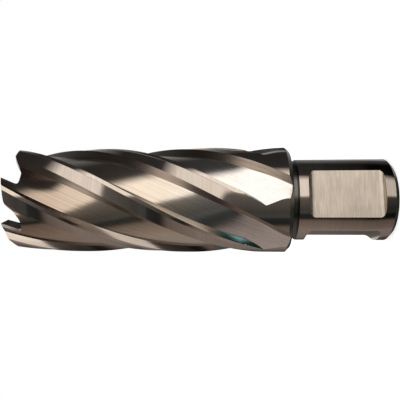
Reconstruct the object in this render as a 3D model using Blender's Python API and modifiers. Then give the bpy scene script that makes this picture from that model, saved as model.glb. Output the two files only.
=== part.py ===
"""Annular cutter, ground from one bar: a shank with two clamping flats, a short collar and a tube with
helical lands and a ring of teeth. Metres, +Z from the shank's end face to the teeth. Angles grow
anticlockwise about +Z, which is the way the teeth cut."""

import math

import bpy
import bmesh
from mathutils import Matrix, Vector

MM = 0.001

# Overall sizes, in millimetres
LENGTH = 89.0
CUT_D = 25.0
SHANK_D = 19.05
SHANK_LENGTH = 21.5
SHANK_CHAMFER = 1.0
GROOVE_DEPTH = 0.325
GROOVE_WIDTH = 1.5
GROOVE_CORNER = 0.4
COLLAR_CLEARANCE = 0.08
COLLAR_LENGTH = 9.0
COLLAR_CHAMFER_SHARE = 0.328
WALL = 4.0
PILOT_D = 6.4
CAVITY_DEPTH = 57.5
CAVITY_CORNER = 1.5

# Clamping flats
FLAT_DEPTH = 1.585
FLAT_START = 3.0
FLAT_END = 19.5
FLAT_CORNER_END = 0.9
FLAT_CORNER_BODY = 1.2
FLAT_ANGLES = (9.4, -80.6)

# Lands and flutes. A depth is below the cutting radius. An angle is counted ahead of the leading corner
# of the land behind the flute.
TEETH = 6
LEAD = 150.0
CORNER_ANGLE = -60.5
CORNER_Z = 55.0
WALL_FOOT_ANGLE = 9.8
WALL_FOOT_DEPTH = 2.05
WALL_HOLLOW = 0.55
FLOOR_END_ANGLE = 35.3
FLOOR_END_DEPTH = 1.3
FLOOR_BULGE = 0.2
LAND_END_ANGLE = 40.6
LAND_END_DEPTH = 0.36
RELIEF_DEPTH = 0.12
LAND_RUNOUT = 9.0
MARGIN_ANGLE = 5.0
MARGIN_STEP_ANGLE = 0.3
MARGIN_RUNOUT = 3.0
FLUTE_RUNOUT = 13.0

# Tooth ends
TIP_INSET = 2.0
TIP_ANGLE = 12.8
OUTER_DROP = 1.6
INNER_DROP = 0.8
INNER_ANGLE = 10.9
END_RELIEF = 10.9
GULLET_DEPTH = 4.7
GULLET_FACE_ANGLE = 9.0
GULLET_CORNER = 1.3
GULLET_SLOPE_ANGLE = 25.5
GULLET_EXIT_ANGLE = 40.6
GULLET_EXIT_DROP = 2.43

ROUND_STEPS = 96
FLUTE_STEPS = 24

# Heights and radii that follow from them
CUT_R = CUT_D / 2
SHANK_R = SHANK_D / 2
GROOVE_R = SHANK_R - GROOVE_DEPTH
COLLAR_R = CUT_R - COLLAR_CLEARANCE
COLLAR_CHAMFER = COLLAR_CHAMFER_SHARE * (COLLAR_R - SHANK_R)
FLAT_FROM_AXIS = SHANK_R - FLAT_DEPTH
WALL_FOOT_R = CUT_R - WALL_FOOT_DEPTH
FLOOR_END_R = CUT_R - FLOOR_END_DEPTH
LAND_END_R = CUT_R - LAND_END_DEPTH
RELIEF_R = CUT_R - RELIEF_DEPTH
TIP_R = CUT_R - TIP_INSET
CAVITY_R = CUT_R - WALL
SHOULDER_Z = SHANK_LENGTH + GROOVE_WIDTH
COLLAR_TOP = SHOULDER_Z + COLLAR_LENGTH
CAVITY_FLOOR = LENGTH - CAVITY_DEPTH
OUTER_Z = LENGTH - OUTER_DROP
INNER_Z = LENGTH - INNER_DROP
TWIST = 360.0 / LEAD
PITCH = 360.0 / TEETH
SPARE = 0.8


def clear_scene():
    for obj in list(bpy.data.objects):
        bpy.data.objects.remove(obj, do_unlink=True)


def collection(name):
    made = bpy.data.collections.new(name)
    bpy.context.scene.collection.children.link(made)
    return made


def object_from(name, bm, holder):
    mesh = bpy.data.meshes.new(name)
    bm.to_mesh(mesh)
    bm.free()
    obj = bpy.data.objects.new(name, mesh)
    holder.objects.link(obj)
    return obj


def polar(r, degrees, z):
    a = math.radians(degrees)
    return Vector((r * math.sin(a), -r * math.cos(a), z)) * MM


def corner_angle(land, z):
    """The direction of a land's leading corner at a height."""
    return CORNER_ANGLE + PITCH * land + TWIST * (z - CORNER_Z)


def turned(name, profile, holder):
    """A closed (r, z) outline turned about Z."""
    bm = bmesh.new()
    ring = [bm.verts.new((r * MM, 0, z * MM)) for r, z in profile]
    for a, b in zip(ring, ring[1:] + ring[:1]):
        bm.edges.new((a, b))
    obj = object_from(name, bm, holder)
    screw = obj.modifiers.new("turn", "SCREW")
    screw.axis = "Z"
    screw.angle = 2 * math.pi
    screw.steps = screw.render_steps = ROUND_STEPS
    screw.use_merge_vertices = True
    screw.merge_threshold = 0.00001
    return obj


def lofted(name, rings, holder):
    """A closed solid through rings that all have the same number of points."""
    bm = bmesh.new()
    rows = [[bm.verts.new(p) for p in ring] for ring in rings]
    for low, high in zip(rows, rows[1:]):
        for i in range(len(low)):
            j = (i + 1) % len(low)
            bm.faces.new((low[i], low[j], high[j], high[i]))
    bm.faces.new(rows[0][::-1])
    bm.faces.new(rows[-1])
    bmesh.ops.triangulate(bm, faces=bm.faces[:], quad_method="SHORT_EDGE")
    bmesh.ops.recalc_face_normals(bm, faces=bm.faces[:])
    if bm.calc_volume(signed=True) < 0:
        bmesh.ops.reverse_faces(bm, faces=bm.faces[:])
    obj = object_from(name, bm, holder)
    obj.hide_render = True
    obj.display_type = "WIRE"
    return obj


def cut(target, cutter, name):
    boolean = target.modifiers.new(name, "BOOLEAN")
    boolean.operation = "DIFFERENCE"
    boolean.solver = "EXACT"
    boolean.object = cutter


def ease(value):
    value = min(1.0, max(0.0, value))
    return value * value * (3 - 2 * value)


# The blank

def blank_profile():
    chamfer = SHANK_CHAMFER
    top = LENGTH + SPARE
    return [
        (CUT_R, top),
        (CUT_R, COLLAR_TOP + 0.1),
        (COLLAR_R, COLLAR_TOP),
        (COLLAR_R, SHOULDER_Z + COLLAR_CHAMFER),
        (COLLAR_R - COLLAR_CHAMFER, SHOULDER_Z),
        (GROOVE_R + GROOVE_CORNER, SHOULDER_Z),
        (GROOVE_R + 0.3 * GROOVE_CORNER, SHOULDER_Z - 0.3 * GROOVE_CORNER),
        (GROOVE_R, SHOULDER_Z - GROOVE_CORNER),
        (GROOVE_R, SHANK_LENGTH + 0.55),
        (GROOVE_R + 0.1, SHANK_LENGTH + 0.25),
        (SHANK_R, SHANK_LENGTH),
        (SHANK_R, chamfer),
        (SHANK_R - chamfer, 0.0),
        (PILOT_D / 2 + 0.4, 0.0),
        (PILOT_D / 2, 0.4),
        (PILOT_D / 2, CAVITY_FLOOR),
        (CAVITY_R - CAVITY_CORNER, CAVITY_FLOOR),
        (CAVITY_R - 0.4 * CAVITY_CORNER, CAVITY_FLOOR + 0.2 * CAVITY_CORNER),
        (CAVITY_R, CAVITY_FLOOR + CAVITY_CORNER),
        (CAVITY_R, top),
    ]


# Flutes: a milled channel and the relief ground on the land ahead of it, in one cutter

def wall_point(reach):
    """A point on the line of the flute's leading wall: 0 at its foot, 1 at the land's corner."""
    a = math.radians(WALL_FOOT_ANGLE)
    foot = Vector((WALL_FOOT_R * math.cos(a), WALL_FOOT_R * math.sin(a)))
    p = foot.lerp(Vector((CUT_R, 0)), reach)
    return p.length, math.degrees(math.atan2(p.y, p.x))


def between(a, b, share):
    """A point on the straight line between two (r, angle) points."""
    p = polar(a[0], a[1], 0).lerp(polar(b[0], b[1], 0), share) / MM
    return p.length, math.degrees(math.atan2(p.x, -p.y))


def bulged(a, b, share, height):
    """The same on a line that stands out by a height in its middle."""
    p, q = polar(a[0], a[1], 0), polar(b[0], b[1], 0)
    out = Vector(((q - p).y, -(q - p).x, 0)).normalized()
    p = (p.lerp(q, share) + 4 * share * (1 - share) * height * MM * out) / MM
    return p.length, math.degrees(math.atan2(p.x, -p.y))


def land_edges(z):
    """The land's radius at its trailing end and behind its margin, and the margin's width."""
    above = z - COLLAR_TOP
    if above <= 0:
        return COLLAR_R + 0.08, COLLAR_R + 0.08, -1.2
    share = math.sqrt(min(1.0, above / (LENGTH - COLLAR_TOP)))
    base = COLLAR_R - 0.01
    grown = min(1.0, max(0.0, (above - 1.0) / MARGIN_RUNOUT))
    return (base + (LAND_END_R - base) * share,
            base + (RELIEF_R - base) * share,
            -1.2 + (MARGIN_ANGLE + 1.2) * math.sqrt(grown))


def flute_ring(land, z):
    """The cutter's outline at one height: the hollow leading wall, the floor, and round to the margin ahead."""
    leave = min(1.0, max(0.0, (SHOULDER_Z + FLUTE_RUNOUT - z) / (FLUTE_RUNOUT - 1.0)))
    reach = 2.92 * leave ** 2.65
    foot = wall_point(reach)
    rear = ease((COLLAR_TOP - z) / 8.0)
    end = (FLOOR_END_R + 0.6 * rear, FLOOR_END_ANGLE - 3.4 * rear)
    land_r, edge_r, margin = land_edges(z)
    step = PITCH - margin
    flat = ease((z - COLLAR_TOP) / LAND_RUNOUT)
    edge = step - MARGIN_STEP_ANGLE
    corner = wall_point(max(1.06, reach + 0.06))
    hollow = -WALL_HOLLOW * max(0.0, 1 - reach)
    points = [between((CUT_R + 0.8, -1.0), wall_point(reach + 0.5), min(1.0, reach)), corner]
    points += [bulged(corner, foot, share, hollow) for share in (0.2, 0.5, 0.8)]
    points.append(foot)
    points += [bulged(foot, end, share, FLOOR_BULGE * (1 - leave)) for share in (0.33, 0.67)]
    points.append(end)
    for share in (0.0, 0.5, 1.0):
        r, angle = between((land_r, LAND_END_ANGLE), (edge_r, edge), share)
        points.append((r * flat + (land_r + (edge_r - land_r) * share) * (1 - flat), angle))
    points.append((CUT_R + 0.6, step))
    points.append((CUT_R + 4.5, 20.0))
    base = corner_angle(land, z)
    return [polar(r, base + a, z) for r, a in points]


def flute_heights():
    low = SHOULDER_Z - 0.4
    fine = [low + 0.9 * i for i in range(16)]
    high = LENGTH + SPARE + 0.6
    reach = high - fine[-1]
    return fine + [fine[-1] + reach * (i + 1) / FLUTE_STEPS for i in range(FLUTE_STEPS)]


# Tooth ends

def end_ring(land, angle):
    """The ground end of a tooth at one direction, counted from its outer corner."""
    rise = math.tan(math.radians(END_RELIEF)) * math.pi / 180
    outer = OUTER_Z + CUT_R * rise * angle
    tip = LENGTH + TIP_R * rise * (angle - TIP_ANGLE)
    inner = INNER_Z + CAVITY_R * rise * (angle - INNER_ANGLE)
    out_slope = (tip - outer) / (CUT_R - TIP_R)
    in_slope = (tip - inner) / (TIP_R - CAVITY_R)
    over = LENGTH + 4.0
    points = [
        (CUT_R + 2.0, outer - 2.0 * out_slope),
        (TIP_R, tip),
        (CAVITY_R - 1.5, inner - 1.5 * in_slope),
        (CAVITY_R - 1.5, over),
        (CUT_R + 2.0, over),
    ]
    base = corner_angle(land, OUTER_Z)
    return [polar(r, base + angle, z) for r, z in points]


def gullet_outline():
    """(degrees ahead of the cutting face, z) round the notch between two teeth."""
    floor = LENGTH - GULLET_DEPTH
    exit_z = LENGTH - GULLET_EXIT_DROP
    width = math.degrees(GULLET_CORNER / TIP_R)
    over = LENGTH + 3.0
    points = [(0.0, over - step * (over - floor - GULLET_CORNER) / 6) for step in range(6)]
    for step in range(6):
        a = math.pi / 2 * step / 5
        points.append((width * (1 - math.cos(a)), floor + GULLET_CORNER * (1 - math.sin(a))))
    start = GULLET_SLOPE_ANGLE - GULLET_FACE_ANGLE
    end = GULLET_EXIT_ANGLE - GULLET_FACE_ANGLE
    slope = (exit_z - floor) / (end - start)
    points.append((start - 3.0, floor))
    points.append((start, floor + 0.6 * slope))
    points.append((start + 3.0, floor + 3.0 * slope))
    points.append((end, exit_z))
    ridge = LENGTH + 0.2
    points.append((end + (ridge - exit_z) / slope, ridge))
    points.append((end + (ridge - exit_z) / slope + 1.0, over))
    return points


def face_at(r):
    """How far the cutting face leads at a radius, and the radius on its straight outer part."""
    if r < TIP_R:
        return r, GULLET_FACE_ANGLE
    a = math.radians(GULLET_FACE_ANGLE)
    foot = Vector((TIP_R * math.cos(a), TIP_R * math.sin(a)))
    p = foot.lerp(Vector((CUT_R, 0)), (r - TIP_R) / (CUT_R - TIP_R))
    return p.length, math.degrees(math.atan2(p.y, p.x))


def gullet_ring(land, r):
    r, face = face_at(r)
    free = GULLET_SLOPE_ANGLE - GULLET_FACE_ANGLE
    ring = []
    for ahead, z in gullet_outline():
        kept = max(0.0, 1 - ahead / free)
        angle = ahead + GULLET_FACE_ANGLE * (1 - kept) + face * kept
        ring.append(polar(r, corner_angle(land, z) + angle, z))
    return ring


# Flats

def flat_cutter(angle, holder):
    """A block across the shank, its lower edges rounded with the wheel's corners."""
    top = SHANK_R + 1.0
    length = FLAT_END - FLAT_START
    bm = bmesh.new()
    bmesh.ops.create_cube(bm, size=1.0)
    bmesh.ops.scale(bm, vec=Vector((SHANK_D, top - FLAT_FROM_AXIS, length)) * MM, verts=bm.verts)
    middle = ((top + FLAT_FROM_AXIS) / 2, (FLAT_START + FLAT_END) / 2)
    bmesh.ops.translate(bm, vec=Vector((0, -middle[0], middle[1])) * MM, verts=bm.verts)
    inner = -(FLAT_FROM_AXIS + 0.01) * MM
    for height, corner in ((FLAT_START, FLAT_CORNER_END), (FLAT_END, FLAT_CORNER_BODY)):
        edges = [e for e in bm.edges
                 if all(v.co.y > inner and abs(v.co.z - height * MM) < 0.0001 for v in e.verts)]
        bmesh.ops.bevel(bm, geom=edges, offset=corner * MM, segments=6, profile=0.5,
                        affect="EDGES", clamp_overlap=True)
    bmesh.ops.rotate(bm, cent=(0, 0, 0), matrix=Matrix.Rotation(math.radians(angle), 3, "Z"),
                     verts=bm.verts)
    bmesh.ops.recalc_face_normals(bm, faces=bm.faces[:])
    obj = object_from(f"flat_{angle:.0f}", bm, holder)
    obj.hide_render = True
    obj.display_type = "WIRE"
    return obj


def steel():
    made = bpy.data.materials.new("ground_steel")
    made.use_nodes = True
    shader = made.node_tree.nodes["Principled BSDF"]
    shader.inputs["Base Color"].default_value = (0.56, 0.51, 0.46, 1.0)
    shader.inputs["Metallic"].default_value = 1.0
    shader.inputs["Roughness"].default_value = 0.27
    return made


def settle(obj):
    """Keeps the cut shape as the object's own mesh, smooth but for its ground edges."""
    graph = bpy.context.evaluated_depsgraph_get()
    mesh = bpy.data.meshes.new_from_object(obj.evaluated_get(graph))
    obj.modifiers.clear()
    obj.data = mesh
    mesh.name = obj.name
    mesh.materials.clear()
    mesh.materials.append(steel())
    mesh.shade_smooth()
    mesh.set_sharp_from_angle(angle=math.radians(24))


def main():
    clear_scene()
    cutters = collection("cutters")
    cutters.hide_render = True
    whole = collection("annular_cutter_parts")
    body = turned("annular_cutter", blank_profile(), whole)
    for angle in FLAT_ANGLES:
        cut(body, flat_cutter(angle, cutters), f"flat {angle:.0f}")
    for land in range(TEETH):
        rings = [flute_ring(land, z) for z in flute_heights()]
        cut(body, lofted(f"flute_{land}", rings, cutters), f"flute {land}")
    for land in range(TEETH):
        rings = [end_ring(land, angle) for angle in range(-32, 21, 4)]
        cut(body, lofted(f"tooth_end_{land}", rings, cutters), f"tooth end {land}")
    radii = (CUT_R + 2.5, TIP_R, CAVITY_R - 1.0)
    for land in range(TEETH):
        rings = [gullet_ring(land, r) for r in radii]
        cut(body, lofted(f"gullet_{land}", rings, cutters), f"gullet {land}")
    settle(body)


main()
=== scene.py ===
"""The annular cutter's look: a fine mesh of the ground steel body, its materials, the stage and
the camera."""

import math

import bmesh
import bpy
import numpy as np
from mathutils import Matrix, Vector


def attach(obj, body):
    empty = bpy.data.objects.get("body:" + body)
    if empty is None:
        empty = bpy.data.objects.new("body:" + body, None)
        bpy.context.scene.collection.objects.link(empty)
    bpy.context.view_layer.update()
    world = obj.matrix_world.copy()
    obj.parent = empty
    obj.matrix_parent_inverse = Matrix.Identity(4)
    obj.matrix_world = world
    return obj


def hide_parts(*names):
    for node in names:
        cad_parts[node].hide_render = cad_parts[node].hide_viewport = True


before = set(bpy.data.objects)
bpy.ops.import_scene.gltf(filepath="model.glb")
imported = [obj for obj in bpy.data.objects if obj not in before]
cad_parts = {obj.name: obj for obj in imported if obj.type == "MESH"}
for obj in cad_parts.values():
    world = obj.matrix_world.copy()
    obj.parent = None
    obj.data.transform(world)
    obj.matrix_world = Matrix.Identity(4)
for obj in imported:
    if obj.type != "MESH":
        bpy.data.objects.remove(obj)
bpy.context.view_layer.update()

MM = 0.001

# Sizes in millimetres and degrees, the same as the solid's
LENGTH = 89.0
CUT_R = 12.5
SHANK_R = 9.525
SHANK_LENGTH = 21.5
SHANK_CHAMFER = 1.0
GROOVE_R = 9.2
GROOVE_WIDTH = 1.5
GROOVE_CORNER = 0.4
COLLAR_R = 12.42
COLLAR_LENGTH = 9.0
CAVITY_R = 8.5
CAVITY_DEPTH = 57.5
CAVITY_CORNER = 1.5
PILOT_R = 3.2
FLAT_FROM_AXIS = 7.94
FLAT_START, FLAT_END = 3.0, 19.5
FLAT_ANGLES = (9.4, -80.6)
TEETH = 6
LEAD = 150.0
CORNER_ANGLE, CORNER_Z = -60.5, 55.0
LAND_END_R, LAND_END_ANGLE = 12.14, 40.6
RELIEF_R = 12.38
LAND_RUNOUT = 9.0
MARGIN_STEP_ANGLE = 0.3
MARGIN_RUNOUT = 3.0
TIP_R, TIP_ANGLE = 10.5, 12.8
OUTER_Z = 87.4
INNER_Z, INNER_ANGLE = 88.2, 10.9
END_RELIEF = 10.9
GULLET_DEPTH = 4.7
GULLET_FACE_ANGLE = 9.0
GULLET_CORNER = 1.3
GULLET_SLOPE_ANGLE = 25.5
GULLET_EXIT_ANGLE = 40.6
GULLET_EXIT_DROP = 2.43

SHOULDER_Z = SHANK_LENGTH + GROOVE_WIDTH
COLLAR_TOP = SHOULDER_Z + COLLAR_LENGTH
COLLAR_CHAMFER = 0.328 * (COLLAR_R - SHANK_R)
CAVITY_FLOOR = LENGTH - CAVITY_DEPTH
PITCH = 360.0 / TEETH
TWIST = 360.0 / LEAD

# An edge that the solid leaves sharp
PILOT_CHAMFER = 0.4

# Forms that follow the photograph more closely than the solid's do. A point of the flute is its
# radius and its angle ahead of the cutting corner.
FLAT_CORNERS = (1.0, 1.55)
WALL_TOP = (CUT_R, -1.4)
WALL_HOLLOW = 0.03
FOOT = (11.11, 1.0)
FLOOR_BULGE = 0.31
FLOOR_END = (10.75, 34.1)
MARGIN_ANGLE = 5.5

# Where the flute leaves the collar: its foot moves out along a power curve, its rear edge eases out
RUNOUT_TOP = SHOULDER_Z + 13.0
RUNOUT_HEIGHT = 12.0
RUNOUT_POWER = 2.65
RUNOUT_FOOT = (17.05, -11.5)
RUNOUT_CORNER = (RUNOUT_FOOT[0] + 0.25, RUNOUT_FOOT[1] - 0.7)
REAR_RUNOUT = 8.0
REAR_RISE, REAR_TURN = 1.05, -2.2

# How far the wall's line reaches past the corner, and how lands and margins begin above the collar
WALL_REACH = 1.06
LAND_BELOW_COLLAR = 0.01
MARGIN_START_ANGLE = -1.2
MARGIN_DELAY = 1.0

# Narrow places that keep strips apart, and the blank's spare height above the teeth
BARE_EDGE_ANGLE = 0.6
STEP_ANGLE = 0.05
ABOVE_COLLAR = 0.05
SPARE = 0.8

# Inner points of the two ground corners, in millimetres and as shares of the corner's radius
GROOVE_ARC = ((0.21, 0.04), (0.09, 0.15), (0.02, 0.28))
CAVITY_ARC = ((0.72, 0.04), (0.4, 0.2), (0.12, 0.55))

KINDS = ("land", "margin", "step", "wall", "floor", "back", "collar", "chamfer", "shoulder",
         "groove", "shank", "end", "bore", "flat", "gash", "tip")
KIND = {name: i for i, name in enumerate(KINDS)}

# How many faces wide each strip of the section is, from the corner to the next one
COUNT = {"wall": 12, "floor": 14, "back": 6, "land": 14, "step": 1, "margin": 5}
STRIPS = [name for name, count in COUNT.items() for _ in range(count)]
ROUND_STEPS = 240

# Points closer than this are one, in metres: in one face, in the blank and in the cut mesh
SAME_PLACE = 2e-7
BLANK_WELD = 1.5e-6
CUT_WELD = 1e-6

# Faces that meet at more than this angle shade as an edge
SHARP_ANGLE = 22


def clamp(value):
    return min(1.0, max(0.0, value))


def ease(value):
    value = clamp(value)
    return value * value * (3 - 2 * value)


# Section of the fluted body

def corner_angle(z):
    return CORNER_ANGLE + TWIST * (z - CORNER_Z)


def polar(r, degrees, z):
    a = math.radians(degrees)
    return (r * math.sin(a) * MM, -r * math.cos(a) * MM, z * MM)


def to_plane(point):
    a = math.radians(point[1])
    return np.array((point[0] * math.cos(a), point[0] * math.sin(a)))


def from_plane(point):
    return math.hypot(point[0], point[1]), math.degrees(math.atan2(point[1], point[0]))


def between(a, b, share):
    return from_plane(to_plane(a) * (1 - share) + to_plane(b) * share)


def on_line(a, b, share, height=0.0):
    """A point on the line between two (r, angle) points, which may stand out in its middle."""
    p, q = to_plane(a), to_plane(b)
    d = q - p
    out = np.array((d[1], -d[0])) / max(1e-9, math.hypot(d[0], d[1]))
    return from_plane(p + d * share + out * 4 * share * (1 - share) * height)


def strip(name, a, b, height=0.0, first=0.0):
    """The points of a named strip on the line from a to b, from a share of the line onwards."""
    count = COUNT[name]
    return [on_line(a, b, first + (1 - first) * i / count, height) for i in range(count)]


def share_inside(a, b, radius, height=0.0):
    """How far along the line from a, outside a circle, it first comes inside."""
    coarse, halvings = 100, 30
    low, high = 0.0, 1.0
    for i in range(coarse + 1):
        if on_line(a, b, i / coarse, height)[0] < radius:
            low, high = max(0, i - 1) / coarse, i / coarse
            break
    for _ in range(halvings):
        middle = (low + high) / 2
        if on_line(a, b, middle, height)[0] < radius:
            high = middle
        else:
            low = middle
    return high


def outer_radius(z):
    if z > COLLAR_TOP:
        return CUT_R
    return min(COLLAR_R, COLLAR_R - COLLAR_CHAMFER + z - SHOULDER_Z)


def flute(z, outer, bare, land_r):
    """The flute's first and last point at a height, and the points of its wall, floor and back, the
    trailing wall. In the run-out its foot moves outward, and what lies outside bare is left out."""
    leave = clamp((RUNOUT_TOP - z) / RUNOUT_HEIGHT)
    gone = leave ** RUNOUT_POWER
    rear = ease((COLLAR_TOP - z) / REAR_RUNOUT)
    foot = between(FOOT, RUNOUT_FOOT, gone)
    end = (FLOOR_END[0] + REAR_RISE * rear, FLOOR_END[1] + REAR_TURN * rear)
    if end[0] >= outer:
        here = (outer, end[1])
        return here, here, [here] * (COUNT["wall"] + COUNT["floor"] + COUNT["back"])
    bulge = FLOOR_BULGE * (1 - leave)
    if foot[0] < bare:
        corner = on_line(between(FOOT, WALL_TOP, WALL_REACH), RUNOUT_CORNER, gone)
        hollow = -WALL_HOLLOW * max(0.0, 1 - 3 * gone)
        share = share_inside(corner, foot, bare, hollow)
        start = on_line(corner, foot, share, hollow)
        wall = strip("wall", corner, foot, hollow, share)
        first = 0.0
    else:
        first = share_inside(foot, end, bare, bulge)
        start = on_line(foot, end, first, bulge)
        wall = [start] * COUNT["wall"]
    floor = strip("floor", foot, end, bulge, first)
    close = (land_r, LAND_END_ANGLE)
    if z <= COLLAR_TOP:
        top = (COLLAR_R + ABOVE_COLLAR, LAND_END_ANGLE)
        close = on_line(top, end, share_inside(top, end, outer))
    return start, close, wall + floor + strip("back", end, close)


def section(z):
    """One flute and the land ahead of it at a height, as (r, angle ahead of the corner) points. A
    land leaves the collar as an arc and becomes straight over its run-out."""
    outer = outer_radius(z)
    above = z - COLLAR_TOP
    land_r = edge_r = outer
    margin = MARGIN_START_ANGLE
    if above > 0:
        share = math.sqrt(clamp(above / (LENGTH - COLLAR_TOP)))
        base = COLLAR_R - LAND_BELOW_COLLAR
        land_r = base + (LAND_END_R - base) * share
        edge_r = base + (RELIEF_R - base) * share
        grown = math.sqrt(clamp((above - MARGIN_DELAY) / MARGIN_RUNOUT))
        margin = MARGIN_START_ANGLE + (MARGIN_ANGLE - MARGIN_START_ANGLE) * grown
    bare = edge_r if margin <= 0 else CUT_R
    start, close, points = flute(z, outer, bare, land_r)
    lead = start[1] + PITCH
    edge = lead - BARE_EDGE_ANGLE if margin <= 0 else PITCH - margin - MARGIN_STEP_ANGLE
    straight = ease(above / LAND_RUNOUT)
    n = COUNT["land"]
    for i, (r, angle) in enumerate(strip("land", close, (edge_r, edge))):
        arc = close[0] + (edge_r - close[0]) * i / n
        if above <= 0:
            angle = close[1] + (edge - close[1]) * i / n
        points.append((r * straight + arc * (1 - straight), angle))
    points.append((edge_r, edge))
    step = edge + STEP_ANGLE
    n = COUNT["margin"]
    for i in range(n):
        points.append((bare + (start[0] - bare) * i / n, step + (lead - step) * i / n))
    return points


def flute_heights():
    """The heights of the body's rings, closest where the collar, margins and flutes change most."""
    low = [SHOULDER_Z + up for up in (0.0, 0.15, 0.3, 0.42, 0.6, 0.8, COLLAR_CHAMFER)]
    low += [SHOULDER_Z + 1.2 + 0.2 * i for i in range(39)]
    low += [COLLAR_TOP + up for up in (0.0, 0.02, 0.3, 0.6, 0.9)]
    low += [COLLAR_TOP + 1.05 + 0.1 * i for i in range(12)]
    low += [COLLAR_TOP + 2.4 + 0.3 * i for i in range(14)]
    top = LENGTH + SPARE
    count = 106
    return low + [low[-1] + (top - low[-1]) * (i + 1) / count for i in range(count)]


# The blank and what is ground away from it

def distinct(verts):
    """The vertices without those that lie on the one before them."""
    kept = []
    for v in verts:
        if not kept or (v.co - kept[-1].co).length > SAME_PLACE:
            kept.append(v)
    return kept


def add_face(bm, verts, kind):
    kept = distinct(verts)
    if len(kept) > 2 and (kept[0].co - kept[-1].co).length <= SAME_PLACE:
        kept.pop()
    if len(kept) > 2:
        bm.faces.new(kept).material_index = KIND[kind]


def join_rings(bm, low, high, kinds):
    """A band of faces between two rings with the same number of points, each of its own kind."""
    for i, kind in enumerate(kinds):
        j = (i + 1) % len(low)
        add_face(bm, (low[i], low[j], high[j], high[i]), kind)


def fill_ring(bm, inner, outer, kind, up):
    """Triangles over the flat ring between two circles of points, each in order of angle."""
    def direction(v):
        return math.degrees(math.atan2(v.co.x, -v.co.y)) % 360.0

    def turned_to_start(ring):
        first = min(range(len(ring)), key=lambda i: direction(ring[i]))
        return ring[first:] + ring[:first]

    a, b = turned_to_start(inner), turned_to_start(outer)
    i = j = 0
    while i < len(a) or j < len(b):
        next_a = direction(a[i + 1]) if i + 1 < len(a) else direction(a[0]) + 360.0
        next_b = direction(b[j + 1]) if j + 1 < len(b) else direction(b[0]) + 360.0
        if j >= len(b) or (i < len(a) and next_a <= next_b):
            face = (a[i % len(a)], a[(i + 1) % len(a)], b[j % len(b)])
            i += 1
        else:
            face = (a[i % len(a)], b[(j + 1) % len(b)], b[j % len(b)])
            j += 1
        add_face(bm, face[::-1] if up else face, kind)


def turned_profile():
    """The turned surfaces as (kind, r, z): from the shoulder down the shank, then up the bore."""
    profile = [("shoulder", GROOVE_R + GROOVE_CORNER, SHOULDER_Z)]
    profile += [("groove", GROOVE_R + out, SHOULDER_Z - down) for out, down in GROOVE_ARC]
    profile += [
        # The groove's bottom, its rise and the shank's broken edge
        ("groove", GROOVE_R, SHOULDER_Z - GROOVE_CORNER),
        ("groove", GROOVE_R, SHANK_LENGTH + 0.55),
        ("groove", GROOVE_R + 0.1, SHANK_LENGTH + 0.25),
        ("groove", SHANK_R - 0.06, SHANK_LENGTH),
        ("shank", SHANK_R - 0.02, SHANK_LENGTH - 0.03),
        ("shank", SHANK_R, SHANK_LENGTH - 0.1),
        # The shank and its chamfer
        ("shank", SHANK_R, 14.0),
        ("shank", SHANK_R, 8.0),
        ("shank", SHANK_R, SHANK_CHAMFER + 0.05),
        ("shank", SHANK_R - 0.03, SHANK_CHAMFER - 0.03),
        ("chamfer", SHANK_R - SHANK_CHAMFER + 0.03, 0.03),
        ("end", SHANK_R - SHANK_CHAMFER - 0.05, 0.0),
        # The end face, the pilot bore with its chamfer, and the cavity's floor
        ("end", PILOT_R + PILOT_CHAMFER, 0.0),
        ("chamfer", PILOT_R, PILOT_CHAMFER),
        ("bore", PILOT_R, CAVITY_FLOOR),
        ("bore", CAVITY_R - CAVITY_CORNER, CAVITY_FLOOR),
    ]
    profile += [("bore", CAVITY_R - inward * CAVITY_CORNER, CAVITY_FLOOR + up * CAVITY_CORNER)
                for inward, up in CAVITY_ARC]
    heights = (CAVITY_FLOOR + CAVITY_CORNER, 60.0, 80.0, LENGTH + SPARE)
    return profile + [("bore", CAVITY_R, z) for z in heights]


def blank():
    """The fluted blank, before the flats, tooth ends and gullets are ground."""
    bm = bmesh.new()
    heights = flute_heights()
    rows = []
    for z in heights:
        points = section(z)
        rows.append([bm.verts.new(polar(r, corner_angle(z) + PITCH * land + a, z))
                     for land in range(TEETH) for r, a in points])
    for low, high, z, next_z in zip(rows, rows[1:], heights, heights[1:]):
        middle = (z + next_z) / 2
        kinds = list(STRIPS)
        if middle < COLLAR_TOP:
            turned = "collar" if middle > SHOULDER_Z + COLLAR_CHAMFER else "chamfer"
            kinds = [turned if name in ("land", "step", "margin") else name for name in STRIPS]
        join_rings(bm, low, high, kinds * TEETH)
    profile = turned_profile()
    rings = [[bm.verts.new(polar(r, 360.0 * i / ROUND_STEPS, z)) for i in range(ROUND_STEPS)]
             for _, r, z in profile]
    for (kind, _, _), high, low in zip(profile[1:], rings, rings[1:]):
        join_rings(bm, low, high, [kind] * ROUND_STEPS)
    fill_ring(bm, rings[0], distinct(rows[0]), "shoulder", False)
    fill_ring(bm, rings[-1], rows[-1], "tip", True)
    bmesh.ops.remove_doubles(bm, verts=bm.verts[:], dist=BLANK_WELD)
    bmesh.ops.recalc_face_normals(bm, faces=bm.faces[:])
    return bm


def loft_into(bm, rings, kind):
    """A closed solid through rings that all have the same number of points."""
    made = []
    rows = [[bm.verts.new(p) for p in ring] for ring in rings]
    for low, high in zip(rows, rows[1:]):
        for i in range(len(low)):
            j = (i + 1) % len(low)
            made.append(bm.faces.new((low[i], low[j], high[j], high[i])))
    made.append(bm.faces.new(rows[0][::-1]))
    made.append(bm.faces.new(rows[-1]))
    made = bmesh.ops.triangulate(bm, faces=made, quad_method="SHORT_EDGE")["faces"]
    for face in made:
        face.material_index = KIND[kind]
    bmesh.ops.recalc_face_normals(bm, faces=made)


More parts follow.
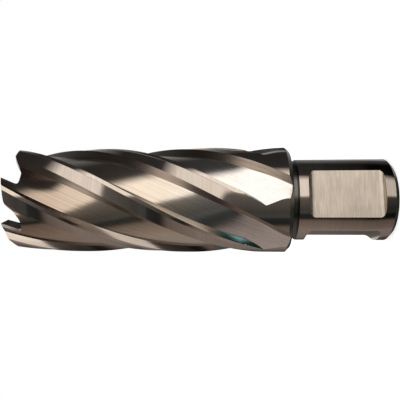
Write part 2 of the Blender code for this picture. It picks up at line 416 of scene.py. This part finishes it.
def end_ring(land, angle):
    """What is ground off a tooth's end at an angle: all above its outer slope, tip and inner slope."""
    rise = math.tan(math.radians(END_RELIEF)) * math.pi / 180
    outer = OUTER_Z + CUT_R * rise * angle
    tip = LENGTH + TIP_R * rise * (angle - TIP_ANGLE)
    inner = INNER_Z + CAVITY_R * rise * (angle - INNER_ANGLE)
    out_slope = (tip - outer) / (CUT_R - TIP_R)
    in_slope = (tip - inner) / (TIP_R - CAVITY_R)
    outward, inward = 2.0, 1.5
    over = LENGTH + 4.0
    points = [(CUT_R + outward, outer - outward * out_slope),
              (TIP_R, tip),
              (CAVITY_R - inward, inner - inward * in_slope),
              (CAVITY_R - inward, over),
              (CUT_R + outward, over)]
    base = corner_angle(OUTER_Z) + PITCH * land
    return [polar(r, base + angle, z) for r, z in points]


def gullet_outline():
    """A gullet from the tooth's face to its exit, as (angle ahead of the face, z) points."""
    floor = LENGTH - GULLET_DEPTH
    exit_z = LENGTH - GULLET_EXIT_DROP
    over = LENGTH + 3.0
    width = math.degrees(GULLET_CORNER / TIP_R)
    steps = 12
    points = [(0.0, over - i * (over - floor - GULLET_CORNER) / steps) for i in range(steps)]
    for i in range(steps + 1):
        a = math.pi / 2 * i / steps
        points.append((width * (1 - math.cos(a)), floor + GULLET_CORNER * (1 - math.sin(a))))
    start = GULLET_SLOPE_ANGLE - GULLET_FACE_ANGLE
    end = GULLET_EXIT_ANGLE - GULLET_FACE_ANGLE
    slope = (exit_z - floor) / (end - start)
    blend, steps = 6.0, 8
    for i in range(steps + 1):
        t = blend * i / steps
        points.append((start - blend / 2 + t, floor + slope * t * t / (2 * blend)))
    points.append((end, exit_z))
    ridge = LENGTH + 0.2
    ridge_angle = end + (ridge - exit_z) / slope
    points.append((ridge_angle, ridge))
    points.append((ridge_angle + 1.0, over))
    return points


def gullet_ring(land, r):
    """The gullet's outline at a radius. Its front lies on the tooth's face, which turns with r."""
    face = GULLET_FACE_ANGLE
    if r >= TIP_R:
        share = (r - TIP_R) / (CUT_R - TIP_R)
        r, face = on_line((TIP_R, GULLET_FACE_ANGLE), (CUT_R, 0.0), share)
    free = GULLET_SLOPE_ANGLE - GULLET_FACE_ANGLE
    ring = []
    for ahead, z in gullet_outline():
        kept = max(0.0, 1 - ahead / free)
        angle = ahead + GULLET_FACE_ANGLE * (1 - kept) + face * kept
        ring.append(polar(r, corner_angle(z) + PITCH * land + angle, z))
    return ring


def flat_tool(angle):
    """The block that a flat is ground by, its two ends rounded where they meet the flat."""
    bm = bmesh.new()
    width = 12.8
    top = SHANK_R + 1.0
    verts = bmesh.ops.create_cube(bm, size=1.0)["verts"]
    size = Vector((width, top - FLAT_FROM_AXIS, FLAT_END - FLAT_START))
    middle = Vector((0, -(top + FLAT_FROM_AXIS) / 2, (FLAT_START + FLAT_END) / 2))
    bmesh.ops.scale(bm, vec=size * MM, verts=verts)
    bmesh.ops.translate(bm, vec=middle * MM, verts=verts)
    inner = -(FLAT_FROM_AXIS + 0.01) * MM
    for height, corner in zip((FLAT_START, FLAT_END), FLAT_CORNERS):
        edges = [e for e in bm.edges
                 if all(v.co.y > inner and abs(v.co.z - height * MM) < 0.1 * MM for v in e.verts)]
        bmesh.ops.bevel(bm, geom=edges, offset=corner * MM, segments=12, profile=0.5,
                        affect="EDGES", clamp_overlap=True)
    bmesh.ops.rotate(bm, cent=(0, 0, 0), matrix=Matrix.Rotation(math.radians(angle), 3, "Z"),
                     verts=bm.verts[:])
    bmesh.ops.recalc_face_normals(bm, faces=bm.faces[:])
    for face in bm.faces:
        face.material_index = KIND["flat"]
    return bm


def ends_tool():
    """What is ground off all tooth ends: for each tooth a ramp from behind its corner to ahead of it."""
    bm = bmesh.new()
    first, sweep, steps = -32, 52, 40
    for land in range(TEETH):
        loft_into(bm, [end_ring(land, first + sweep * i / steps) for i in range(steps + 1)], "tip")
    return bm


def gullets_tool(first):
    """Every second gullet, so that no two in one tool touch."""
    bm = bmesh.new()
    radii = (CUT_R + 2.5, CUT_R + 0.2, 11.5, TIP_R, 9.5, CAVITY_R - 1.0)
    for land in range(first, TEETH, 2):
        loft_into(bm, [gullet_ring(land, r) for r in radii], "gash")
    return bm


# Materials

class Nodes:
    """Small help for building the node tree of a material or the world."""

    def __init__(self, owner):
        owner.use_nodes = True
        self.tree = owner.node_tree

    def add(self, kind, inputs=None, **values):
        """A new node; each input takes a value or another node's output."""
        node = self.tree.nodes.new(kind)
        for key, value in values.items():
            setattr(node, key, value)
        for key, value in (inputs or {}).items():
            self.put(node.inputs[key], value)
        return node

    def put(self, socket, value):
        if isinstance(value, bpy.types.NodeSocket):
            self.tree.links.new(value, socket)
        else:
            socket.default_value = value

    def calculate(self, operation, *values):
        return self.add("ShaderNodeMath", dict(enumerate(values)), operation=operation).outputs[0]

    def shown(self):
        """1 for the rays that see the background: the camera's, and those off gloss or through glass."""
        path = self.add("ShaderNodeLightPath").outputs
        seen = self.calculate("MAXIMUM", path["Is Camera Ray"], path["Is Glossy Ray"])
        return self.calculate("MAXIMUM", seen, path["Is Transmission Ray"])


def helix_coordinates(n):
    """Object coordinates turned back with the flutes, so that a line along the flute runs along Z."""
    where = n.add("ShaderNodeTexCoord").outputs["Object"]
    height = n.add("ShaderNodeSeparateXYZ", {0: where}).outputs["Z"]
    angle = n.calculate("MULTIPLY", height, -math.radians(TWIST) / MM)
    turned = n.add("ShaderNodeVectorRotate", {"Vector": where, "Angle": angle},
                   rotation_type="Z_AXIS")
    return turned.outputs[0]


def colour_ramp(n, factor, points):
    """A ramp through (position, colour) points."""
    ramp = n.add("ShaderNodeValToRGB", {0: factor})
    elements = ramp.color_ramp.elements
    while len(elements) < len(points):
        elements.new(0.5)
    for element, (position, colour) in zip(elements, points):
        element.position = position
        element.color = (*colour, 1)
    return ramp.outputs[0]


def painted_by_height(n, where, colour, cloud, painted_light):
    """The colour times painted light that changes with the height: painted shade and painted
    reflection. The ramp spans so many millimetres, and the cloud blurs it."""
    span, blur = 90, 12
    height = n.add("ShaderNodeSeparateXYZ", {0: where}).outputs["Z"]
    moved = n.calculate("MULTIPLY_ADD", cloud, blur * MM, height)
    place = n.add("ShaderNodeMapRange", {"Value": moved, "From Min": blur / 2 * MM,
                                         "From Max": (span + blur / 2) * MM})
    painted_level = colour_ramp(n, place.outputs[0], [(z / span, painted_level) for z, painted_level in painted_light])
    both = n.add("ShaderNodeMix", {"Factor": 1.0, "A": colour, "B": painted_level},
                 data_type="RGBA", blend_type="MULTIPLY")
    return both.outputs["Result"]


def steel(name, base, rough, lines, across, bump, dark=0.12, helical=False, aniso=0.0, painted_light=None):
    """Ground steel. lines is the noise's scale across the grinding marks and across its scale along
    them; dark is how much the marks darken the base colour, and painted_light, (height, colour)
    points of painted shade and painted reflection, multiplies it."""
    material = bpy.data.materials.new(name)
    n = Nodes(material)
    if helical:
        where = helix_coordinates(n)
        scale = (lines, lines, across)
    else:
        where = n.add("ShaderNodeTexCoord").outputs["Object"]
        scale = (across, across, lines)
    place = n.add("ShaderNodeMapping", {"Vector": where, "Scale": scale}).outputs[0]
    marks = n.add("ShaderNodeTexNoise", {"Vector": place, "Scale": 1.0, "Detail": 4.0,
                                         "Roughness": 0.65}).outputs["Fac"]
    cloud = n.add("ShaderNodeTexNoise", {"Vector": where, "Scale": 260.0,
                                         "Detail": 3.0}).outputs["Fac"]
    marks_share = 0.7
    both = n.calculate("MULTIPLY_ADD", marks, marks_share,
                       n.calculate("MULTIPLY", cloud, 1 - marks_share))
    darkest, lightest = 0.3, 0.7
    low = [c * (1 - dark) for c in base]
    high = [min(1.0, c * (1 + dark * 0.5)) for c in base]
    colour = colour_ramp(n, both, ((darkest, low), (lightest, high)))
    if painted_light:
        colour = painted_by_height(n, where, colour, cloud, painted_light)
    gloss = n.add("ShaderNodeMapRange", {"Value": both, "From Min": darkest, "From Max": lightest,
                                         "To Min": rough * 1.2, "To Max": rough * 0.8})
    relief = n.add("ShaderNodeBump", {"Strength": bump, "Distance": 0.02 * MM, "Height": marks})
    shader = n.tree.nodes["Principled BSDF"]
    looks = {"Metallic": 1.0, "Base Color": colour, "Roughness": gloss.outputs[0],
             "Normal": relief.outputs[0]}
    if aniso:
        tangent = n.add("ShaderNodeTangent", direction_type="RADIAL", axis="Z")
        looks.update({"Anisotropic": aniso, "Anisotropic Rotation": 0.25,
                      "Tangent": tangent.outputs[0]})
    for key, value in looks.items():
        n.put(shader.inputs[key], value)
    return material


def turned_materials():
    """The surfaces whose grinding marks run round the axis."""
    warm = (0.56, 0.51, 0.46)
    return {
        "land": steel("land_steel", warm, rough=0.13, lines=2600, across=60, bump=0.25, aniso=0.5),
        # The margins' base, paler than the lands', is a painted highlight
        "margin": steel("margin_steel", (0.65, 0.58, 0.52), rough=0.12, lines=2600, across=60,
                        bump=0.2, aniso=0.5),
        "collar": steel("collar_steel", warm, rough=0.14, lines=2400, across=50, bump=0.25,
                        aniso=0.5),
        "chamfer": steel("chamfer_steel", (0.5, 0.46, 0.42), rough=0.22, lines=2400, across=50,
                         bump=0.3),
        # The groove's near-black base is painted shade in the groove
        "groove": steel("groove_steel", (0.16, 0.16, 0.15), rough=0.26, lines=3200, across=60,
                        bump=0.4),
        "shank": steel("shank_steel", warm, rough=0.12, lines=2800, across=50, bump=0.2, aniso=0.5),
        "end": steel("end_steel", warm, rough=0.25, lines=900, across=900, bump=0.3),
        "bore": steel("bore_steel", (0.3, 0.28, 0.26), rough=0.35, lines=1800, across=60, bump=0.5),
    }


def ground_materials():
    """The flutes, whose marks follow the helix, and the flats and tooth ends."""
    white = (1.0, 1.0, 1.0)
    # Painted reflection: the leading walls turn teal low down, from 28 to 42 mm, a reflection painted
    # into their colour
    wall_painted_reflection = ((28, (0.22, 0.5, 0.58)), (37, (0.3, 0.68, 0.78)), (42, white), (80, white))
    # Painted shade: the floors grow darker and browner toward the teeth
    floor_painted_shade = ((36, white), (50, (0.82, 0.76, 0.66)), (62, (0.78, 0.7, 0.6)),
                   (78, (0.55, 0.45, 0.37)))
    return {
        # The leading wall's base is lighter than the lands' steel: a painted highlight
        "wall": steel("wall_steel", (0.64, 0.58, 0.52), rough=0.15, lines=2400, across=60,
                      bump=0.35, helical=True, painted_light=wall_painted_reflection),
        # The floor's near-white base, lighter than the lands' steel, is a painted highlight
        "floor": steel("floor_steel", (1.0, 0.98, 0.95), rough=0.18, lines=2200, across=30,
                       bump=0.5, dark=0.24, helical=True, painted_light=floor_painted_shade),
        # The trailing wall's darker, browner base is painted shade
        "back": steel("back_steel", (0.36, 0.3, 0.25), rough=0.32, lines=2200, across=30,
                      bump=0.6, dark=0.3, helical=True),
        "flat": steel("flat_steel", (0.66, 0.6, 0.52), rough=0.33, lines=3200, across=240,
                      bump=0.6, dark=0.22),
        "gash": steel("gash_steel", (0.33, 0.31, 0.3), rough=0.24, lines=1500, across=500,
                      bump=0.3),
        "tip": steel("tip_steel", (0.6, 0.56, 0.52), rough=0.2, lines=1500, across=500, bump=0.3),
    }


def materials():
    """Every kind's material, in the order of KINDS."""
    made = {**turned_materials(), **ground_materials()}
    made["step"] = made["margin"]
    made["shoulder"] = made["chamfer"]
    return [made[name] for name in KINDS]


# The body

def mesh_object(name, bm, looks):
    mesh = bpy.data.meshes.new(name)
    bm.to_mesh(mesh)
    bm.free()
    for look in looks:
        mesh.materials.append(look)
    obj = bpy.data.objects.new(name, mesh)
    bpy.context.scene.collection.objects.link(obj)
    return obj


def grind(obj, name, bm, markers):
    """Cuts a tool's shape out of the object, whose new faces take the tool's kind."""
    tool = mesh_object(name, bm, markers)
    cut = obj.modifiers.new("cut", "BOOLEAN")
    cut.operation = "DIFFERENCE"
    cut.solver = "EXACT"
    cut.material_mode = "TRANSFER"
    cut.object = tool
    graph = bpy.context.evaluated_depsgraph_get()
    mesh = bpy.data.meshes.new_from_object(obj.evaluated_get(graph))
    obj.modifiers.clear()
    old = obj.data
    obj.data = mesh
    bpy.data.meshes.remove(old)
    bpy.data.objects.remove(tool, do_unlink=True)


def finish_mesh(mesh, markers):
    """Cleans the cut mesh, marks its sharp edges and gives each face its kind's material."""
    kinds = [markers.index(m) for m in mesh.materials]
    bm = bmesh.new()
    bm.from_mesh(mesh)
    for face in bm.faces:
        face.material_index = kinds[face.material_index]
        face.smooth = True
    bmesh.ops.remove_doubles(bm, verts=bm.verts[:], dist=CUT_WELD)
    bmesh.ops.dissolve_degenerate(bm, edges=bm.edges[:], dist=CUT_WELD)
    alike = {"step": "margin", "shoulder": "groove"}
    for edge in bm.edges:
        if len(edge.link_faces) != 2:
            edge.smooth = False
            continue
        a, b = edge.link_faces
        names = {KINDS[face.material_index] for face in (a, b)}
        names = {alike.get(name, name) for name in names}
        same = len(names) == 1 or names in ({"land", "collar"}, {"margin", "collar"})
        edge.smooth = same and a.normal.angle(b.normal, 0.0) < math.radians(SHARP_ANGLE)
    mesh.materials.clear()
    for look in materials():
        mesh.materials.append(look)
    bm.to_mesh(mesh)
    bm.free()


def floor_turn(z, phase, around):
    """A flute floor's turn in degrees: it grows with the height and changes towards its rear edge,
    where phase, the angle ahead of the corner, is large. It fades out on the far side."""
    steady = max(-9.0, min(18.0, 0.18 * phase - 9.3 + 0.55 * (z - 37)))
    near_teeth = 1.3 * max(0.0, z - 71) * clamp((phase - 10) / 12)
    rear = -0.25 * max(0.0, phase - 5) * (0.35 + 0.65 * clamp((z - 50) / 15))
    near_side = ease((math.cos(math.radians(around - 30)) - 0.42) / 0.33)
    return (steady + near_teeth + rear) * near_side


def back_turn(z, phase, around):
    """A trailing wall's turn, the same all round; it starts in the collar."""
    return (37.5 + 0.6 * (z - 51)) * clamp((z - 25) / 6)


def land_turn(z, phase, around):
    """A land's turn, small and the other way."""
    return -0.6 - 0.1 * max(0.0, z - 38)


def turn_shading(mesh):
    """Turns the shading of the flutes and lands about the axis, as grinding lines along the helix
    turn their reflections. The turns are fitted to the photograph, and no vertex moves."""
    turns = {"floor": floor_turn, "back": back_turn, "land": land_turn}
    normals = [Vector(n.vector) for n in mesh.corner_normals]
    for face in mesh.polygons:
        turn_at = turns.get(KINDS[face.material_index])
        if not turn_at:
            continue
        for corner in face.loop_indices:
            x, y, z = mesh.vertices[mesh.loops[corner].vertex_index].co / MM
            around = math.degrees(math.atan2(x, -y))
            phase = (around - corner_angle(z) + 10) % PITCH - 10
            turn = math.radians(turn_at(z, phase, around))
            normals[corner].rotate(Matrix.Rotation(turn, 3, "Z"))
    mesh.normals_split_custom_set(normals)


def body():
    markers = [bpy.data.materials.new(f"mark_{name}") for name in KINDS]
    obj = mesh_object("cutter_body", blank(), markers)
    for angle in FLAT_ANGLES:
        grind(obj, "flat_tool", flat_tool(angle), markers)
    grind(obj, "ends_tool", ends_tool(), markers)
    for first in (0, 1):
        grind(obj, "gullets_tool", gullets_tool(first), markers)
    finish_mesh(obj.data, markers)
    for marker in markers:
        bpy.data.materials.remove(marker)
    obj.data.name = "cutter_body"
    turn_shading(obj.data)
    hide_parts("annular_cutter")
    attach(obj, "root")


# Stage

# Cards stand round the axis and are seen only in reflections; their radius and heights in metres
CARD_RADIUS = 0.3
CARD_FOOT, CARD_DIM_END, CARD_DIM_START, CARD_TOP = -0.34, -0.11, -0.03, 0.9


def lit_object(name, bm, colours):
    """A stage piece that glows with a colour at each vertex, and is seen only in reflections."""
    glow = bpy.data.materials.new(name)
    n = Nodes(glow)
    n.tree.nodes.clear()
    level = n.add("ShaderNodeVertexColor", layer_name="level").outputs["Color"]
    light = n.add("ShaderNodeEmission", {"Color": level}).outputs[0]
    n.add("ShaderNodeOutputMaterial", {"Surface": light})
    obj = mesh_object(name, bm, [glow])
    layer = obj.data.color_attributes.new("level", "FLOAT_COLOR", "POINT")
    for item, colour in zip(layer.data, colours):
        item.color = (*colour, 1.0)
    obj.visible_camera = False
    obj.visible_diffuse = False
    obj.visible_shadow = False


def card(name, start, end, colour, level, end_level=None, dim=1.0):
    """A long curved card round the axis. Its directions in degrees count from the camera's side, the
    photograph's up first. Its level may change from start to end, and is multiplied by dim toward
    the shank's end."""
    if end_level is None:
        end_level = level
    bm = bmesh.new()
    count = max(3, int(abs(end - start) / 2))
    heights = ((CARD_FOOT, dim), (CARD_DIM_END, dim), (CARD_DIM_START, 1.0), (CARD_TOP, 1.0))
    rows, colours = [], []
    for i in range(count + 1):
        a = math.radians(start + (end - start) * i / count)
        x, y = CARD_RADIUS * math.sin(a), -CARD_RADIUS * math.cos(a)
        here = level + (end_level - level) * i / count
        rows.append([bm.verts.new((x, y, z)) for z, _ in heights])
        colours += [[c * (here * share) for c in colour] for _, share in heights]
    for a, b in zip(rows, rows[1:]):
        for k in range(len(heights) - 1):
            bm.faces.new((a[k], b[k], b[k + 1], a[k + 1]))
    lit_object(name, bm, colours)


def end_card(name, z, colour):
    """A dark disc across the ring of cards."""
    bm = bmesh.new()
    bmesh.ops.create_circle(bm, cap_ends=True, segments=48, radius=CARD_RADIUS)
    bmesh.ops.translate(bm, vec=Vector((0, 0, z)), verts=bm.verts[:])
    lit_object(name, bm, [colour] * len(bm.verts))


def cards():
    warm, cool, brown = (1.0, 0.92, 0.85), (0.95, 0.98, 1.0), (1.0, 0.8, 0.7)
    card("rim_upper_far", 170, 144, cool, 0.54, 0.24, dim=0.95)
    card("rim_upper", 144, 118, cool, 0.24, 0.035, dim=0.4)
    card("flag_upper", 118, 71, (1.0, 0.97, 0.97), 0.033, 0.04, dim=0.1)
    card("softbox_edge", 71, 55, warm, 0.07, 1.28, dim=0.65)
    card("softbox", 55, 11, warm, 1.28, dim=0.65)
    card("front_edge", 11, 6, warm, 1.28, 0.2, dim=0.55)
    card("front", 6, -29, warm, 0.17, 0.07, dim=0.4)
    card("front_line", -29, -38, (0.97, 1.0, 0.96), 0.085, dim=0.4)
    card("flag_lower", -38, -52, cool, 0.035, 0.025, dim=0.3)
    card("brown_edge", -52, -60, brown, 0.03, 0.2, dim=0.25)
    card("brown", -60, -92, brown, 0.2, 0.34, dim=0.7)
    card("brown_far", -92, -128, (1.0, 0.85, 0.78), 0.33, 0.28, dim=0.9)
    card("rim_lower_dark", -128, -150, (1.0, 0.92, 0.86), 0.28, 0.08, dim=0.5)
    card("rim_lower", -150, -172, cool, 0.08, 0.26, dim=0.3)
    end_card("end_dark", CARD_FOOT, (0.035, 0.042, 0.04))
    end_card("far_dark", CARD_TOP, (0.06, 0.06, 0.065))


def pale_floor():
    """A floor that the camera sees as white, with the cutter's shadow on it."""
    half_width, lift = 0.9, 0.72
    bm = bmesh.new()
    bmesh.ops.create_grid(bm, x_segments=2, y_segments=2, size=half_width)
    made = bpy.data.materials.new("pale_floor")
    n = Nodes(made)
    looks = {"Base Color": (0.9, 0.9, 0.9, 1), "Roughness": 0.9, "Specular IOR Level": 0.0,
             "Emission Color": (1, 1, 1, 1),
             "Emission Strength": n.calculate("MULTIPLY", n.shown(), lift)}
    for key, value in looks.items():
        n.put(n.tree.nodes["Principled BSDF"].inputs[key], value)
    floor = mesh_object("floor", bm, [made])
    floor.visible_glossy = False


def white_room():
    """A world that is white where it is seen and lights the object at half of that."""
    world = bpy.data.worlds.new("room")
    bpy.context.scene.world = world
    n = Nodes(world)
    level = n.add("ShaderNodeMapRange", {"Value": n.shown(), "To Min": 0.5, "To Max": 1.0})
    back = n.tree.nodes["Background"]
    n.put(back.inputs["Color"], (1, 1, 1, 1))
    n.put(back.inputs["Strength"], level.outputs[0])


# Camera

# The camera's place (mm), turns (degrees) and focal length (pixels), which fit the photograph
CAMERA_DISTANCE, CAMERA_HEIGHT = 106.624109, 37.0228481
CAMERA_YAW, CAMERA_PITCH, CAMERA_ROLL = 3.715177393, 0.0094711024, 0.1185794857
FOCAL_PIXELS = 440.581802
PICTURE_PIXELS = 400
SENSOR_WIDTH = 36.0


def swung(a, b, degrees):
    """Two axes turned together in their plane by an angle, a towards b."""
    cos, sin = math.cos(math.radians(degrees)), math.sin(math.radians(degrees))
    return a * cos + b * sin, b * cos - a * sin


def camera():
    """The camera looks along Y with the teeth at the left, and yaws, pitches and rolls in turn."""
    data = bpy.data.cameras.new("camera")
    cam = bpy.data.objects.new("camera", data)
    bpy.context.scene.collection.objects.link(cam)
    right, up, ahead = Vector((0, 0, -1)), Vector((1, 0, 0)), Vector((0, 1, 0))
    right, ahead = swung(right, ahead, CAMERA_YAW)
    up, ahead = swung(up, ahead, CAMERA_PITCH)
    up, right = swung(up, right, CAMERA_ROLL)
    place = Matrix((right, up, -ahead)).transposed().to_4x4()
    place.translation = Vector((0, -CAMERA_DISTANCE, CAMERA_HEIGHT)) * MM
    cam.matrix_world = place
    data.sensor_fit = "AUTO"
    data.sensor_width = SENSOR_WIDTH
    data.lens = SENSOR_WIDTH * FOCAL_PIXELS / PICTURE_PIXELS
    data.clip_start, data.clip_end = 0.002, 20.0
    bpy.context.scene.camera = cam


body()
cards()
pale_floor()
white_room()
camera()
bpy.context.scene.view_settings.view_transform = "Standard"
